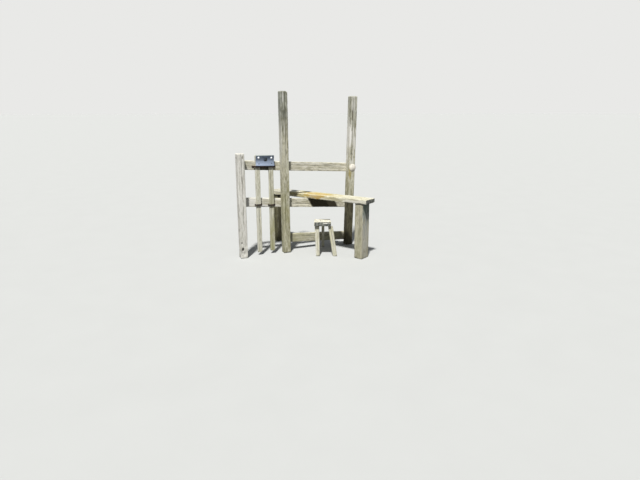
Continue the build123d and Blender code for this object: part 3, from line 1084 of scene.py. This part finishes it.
class STILE_OT_handle_plate(bpy.types.Operator):
    """Dresses the dog gate's folded plate, its bolts and its small screws"""

    bl_idname = "stile.handle_plate"
    bl_label = "Handle plate"

    def execute(self, context):
        steel = context.scene.stile_steel
        eased_node(context, "gate_handle_plate", 0.5 * MM, sheet_finish(steel))
        bolt_finish = bar_finish(steel, "bolt_steel", "bolt", 0.1)
        screw_height = node_box("gate_handle_plate")[0].z + SCREW_HEIGHT
        screws = []
        for side in ("left", "right"):
            node = f"gate_{side}_bolt"
            low, high = node_box(node)
            centre = (low + high) / 2
            back = (centre.x, high.y - SINK, centre.z)
            head = (back, NEAR, (high.z - low.z) / 2, high.y - low.y - SINK)
            stand_in(context, head_mesh([head]), node, bolt_finish)
            start = (centre.x, IN_FRONT, screw_height)
            screws.append(seat(context, "gate_handle_plate", start, FAR, steel.screw_radius))
        finish = bar_finish(steel, "plate_screw_steel", "screw", 0.3)
        fasteners(context, "plate_screws", screws, finish, "gate_handle_plate")
        return {"FINISHED"}


class STILE_OT_guides(bpy.types.Operator):
    """Dresses the steel guides and their screws"""

    bl_idname = "stile.guides"
    bl_label = "Guides"

    def execute(self, context):
        steel = context.scene.stile_steel
        finish = bar_finish(steel, "guide_steel", "bar", 0.6)
        for node in ("left_lower_guide", "right_lower_guide", "upper_guide"):
            eased_node(context, node, 0.6 * MM, finish)
        low, high = node_box("upper_guide")
        inset, half = 10 * MM, 8 * MM
        screws = []
        for x, z in ((low.x + inset, high.z - half), (high.x - inset, low.z + half)):
            screws.append(seat(context, "upper_guide", (x, IN_FRONT, z), FAR, steel.screw_radius))
        finish = bar_finish(steel, "guide_screw_steel", "bar", 0.8)
        fasteners(context, "guide_screws", screws, finish, "upper_guide")
        return {"FINISHED"}


class STILE_OT_disc(bpy.types.Operator):
    """Dresses the waymark disc, left plain, and its two nails"""

    bl_idname = "stile.disc"
    bl_label = "Waymark disc"

    def execute(self, context):
        steel = context.scene.stile_steel
        eased_node(context, "waymark_disc", 0.3 * MM, disc_finish(steel))
        low, high = node_box("waymark_disc")
        centre = (low + high) / 2
        reach = (high.z - low.z) * 0.33
        nails = []
        for z in (centre.z - reach, centre.z + reach):
            start = (centre.x, IN_FRONT, z)
            nails.append(seat(context, "waymark_disc", start, FAR, steel.nail_radius * 0.7))
        finish = bar_finish(steel, "disc_nail_steel", "disc_nail", 0.5)
        fasteners(context, "disc_nails", nails, finish, "waymark_disc")
        return {"FINISHED"}


class STILE_OT_nails(bpy.types.Operator):
    """Adds the nails that hold the rails to the posts and the treads to their legs"""

    bl_idname = "stile.nails"
    bl_label = "Nails"

    def execute(self, context):
        steel = context.scene.stile_steel
        lines = rail_nails() + tread_nails() + [("right_tall_post", POST_NAIL, RIGHT)]
        nails = [seat(context, *line, steel.nail_radius) for line in lines]
        finish = bar_finish(steel, "rusty_nails", "nail", 0.7)
        fasteners(context, "nails", nails, finish, "top_rail")
        return {"FINISHED"}


def rail_nails():
    """Lines to the backs of the rails, two at each post."""
    lines = []
    for rail in ("top_rail", "middle_rail", "bottom_rail"):
        rail_low, rail_high = node_box(rail)
        for post in ("left_short_post", "left_tall_post", "right_tall_post"):
            low, high = node_box(post)
            if rail_low.x > high.x:
                continue
            x = min(max((low.x + high.x) / 2, rail_low.x + NAIL_INSET), rail_high.x - NAIL_INSET)
            top, bottom = rail_limits(rail, x)
            for share in (0.27, 0.73):
                lines.append((rail, (x, BEHIND, bottom + (top - bottom) * share), NEAR))
    return lines


def rail_limits(rail, x):
    """A rail's top and bottom heights at a place along it, from its two ends."""
    points = node_points(rail)
    low, high = corners(points)
    ends = []
    for end in (low.x, high.x):
        heights = [point.z for point in points if abs(point.x - end) < 1 * MM]
        ends.append((max(heights), min(heights)))
    share = (x - low.x) / (high.x - low.x)
    return [first + (second - first) * share for first, second in zip(*ends)]


# Nails of each tread: along it from its near end, and to the left of its middle
TREAD_NAILS = (
    (
        "upper_tread", UPPER_RUN, UPPER_LEFT,
        ((0.09, 0.03), (0.1, -0.04), (1.26, 0.035), (1.25, -0.03)),
    ),
    ("lower_tread", LOWER_RUN, LOWER_LEFT, ((0.04, 0.055), (0.045, -0.07), (0.4, 0.0))),
)


def tread_nails():
    """Lines to the treads' tops, over their legs and stakes."""
    lines = []
    for tread, run, left, spots in TREAD_NAILS:
        top = node_box(tread)[1].z
        near = near_end(tread, run)
        for along, across in spots:
            x = near.x + run[0] * along + left[0] * across
            y = near.y + run[1] * along + left[1] * across
            lines.append((tread, (x, y, top + 0.1), DOWN))
    return lines


def near_end(node, run):
    """The middle of a timber's near end."""
    points = node_points(node)
    reach = [point.dot(Vector(run)) for point in points]
    return middle([point for point, r in zip(points, reach) if r < min(reach) + 20 * MM])


# Light and camera

SUN_COLOUR = (1.0, 0.98, 0.94)
SKY_COLOUR = (0.9, 0.955, 1.0, 1.0)
SENSOR = 36  # mm, the camera's width


class STILE_OT_stage(bpy.types.Operator):
    """Sets the floor, the light and the camera"""

    bl_idname = "stile.stage"
    bl_label = "Stage"

    def execute(self, context):
        stage = context.scene.stile_stage
        bm = bmesh.new()
        bmesh.ops.create_grid(bm, x_segments=1, y_segments=1, size=stage.floor_size / 2)
        finished(context, bm, "floor", floor_finish(stage))
        lamp = bpy.data.lights.new("main_light", "SUN")
        lamp.energy = stage.sun_strength
        lamp.angle = stage.sun_spread
        lamp.color = SUN_COLOUR
        placed(context, lamp, (0, 0, 5), Vector(stage.sun).to_track_quat("-Z", "Y").to_euler())
        context.scene.world = studio_sky(stage)
        eye = bpy.data.cameras.new("view")
        eye.lens = stage.lens
        eye.sensor_width = SENSOR
        way = (math.pi / 2 + stage.pitch, 0, stage.turn)
        context.scene.camera = placed(context, eye, stage.eye, way)
        context.scene.view_settings.view_transform = "Standard"
        return {"FINISHED"}


def placed(context, data, place, turn):
    """A light or camera in the scene."""
    thing = bpy.data.objects.new(data.name, data)
    thing.location = place
    thing.rotation_euler = turn
    context.scene.collection.objects.link(thing)
    return thing


def floor_finish(stage):
    """Pale paper, which gives little light back to the stile."""
    finish = Finish("floor_paper", stage)
    grain = finish.noise(finish.here(), scale=3)
    shown = finish.shader(finish.mix(grain * 0.06, "floor", "floor_shade"), roughness=0.9)
    lit = finish.shader("floor_shade", roughness=0.9)
    return finish.closed(finish.either(finish.seen(), lit, shown))


def studio_sky(stage):
    """Even light from all round, with a pale backdrop behind the floor."""
    world = bpy.data.worlds.new("studio")
    sky = Tree(world, stage)
    light = sky.add("ShaderNodeBackground", values={0: SKY_COLOUR, 1: stage.sky_strength})
    backdrop = sky.add("ShaderNodeBackground", values={0: sky.full("backdrop"), 1: 1.0})
    sky.add("ShaderNodeOutputWorld", values={0: sky.either(sky.seen(), light, backdrop)})
    return world


class STILE_PT_panel(bpy.types.Panel):
    """Lists the stile's settings and steps"""

    bl_idname = "STILE_PT_panel"
    bl_label = "Stile"
    bl_space_type = "VIEW_3D"
    bl_region_type = "UI"
    bl_category = "Stile"

    def draw(self, context):
        layout = self.layout
        for group in SETTINGS:
            settings = getattr(context.scene, group)
            box = layout.box()
            for name in settings.bl_rna.properties.keys():
                if name not in ("rna_type", "name"):
                    box.prop(settings, name)
        for operator in OPERATORS:
            layout.operator(operator.bl_idname)


SETTINGS = {"stile_timber": StileTimber, "stile_steel": StileSteel, "stile_stage": StileStage}
OPERATORS = (
    STILE_OT_stage,
    STILE_OT_posts,
    STILE_OT_rails,
    STILE_OT_upper_tread,
    STILE_OT_lower_tread,
    STILE_OT_gate_timbers,
    STILE_OT_handle_plate,
    STILE_OT_guides,
    STILE_OT_disc,
    STILE_OT_nails,
)


def register():
    for name, group in SETTINGS.items():
        bpy.utils.register_class(group)
        setattr(bpy.types.Scene, name, bpy.props.PointerProperty(type=group))
    for operator in OPERATORS:
        bpy.utils.register_class(operator)
    bpy.utils.register_class(STILE_PT_panel)


def unregister():
    bpy.utils.unregister_class(STILE_PT_panel)
    for operator in reversed(OPERATORS):
        bpy.utils.unregister_class(operator)
    for name, group in SETTINGS.items():
        delattr(bpy.types.Scene, name)
        bpy.utils.unregister_class(group)


def main():
    register()
    for operator in OPERATORS:
        step = operator.bl_idname.split(".")[1]
        getattr(bpy.ops.stile, step)()


if __name__ == "__main__":
    main()
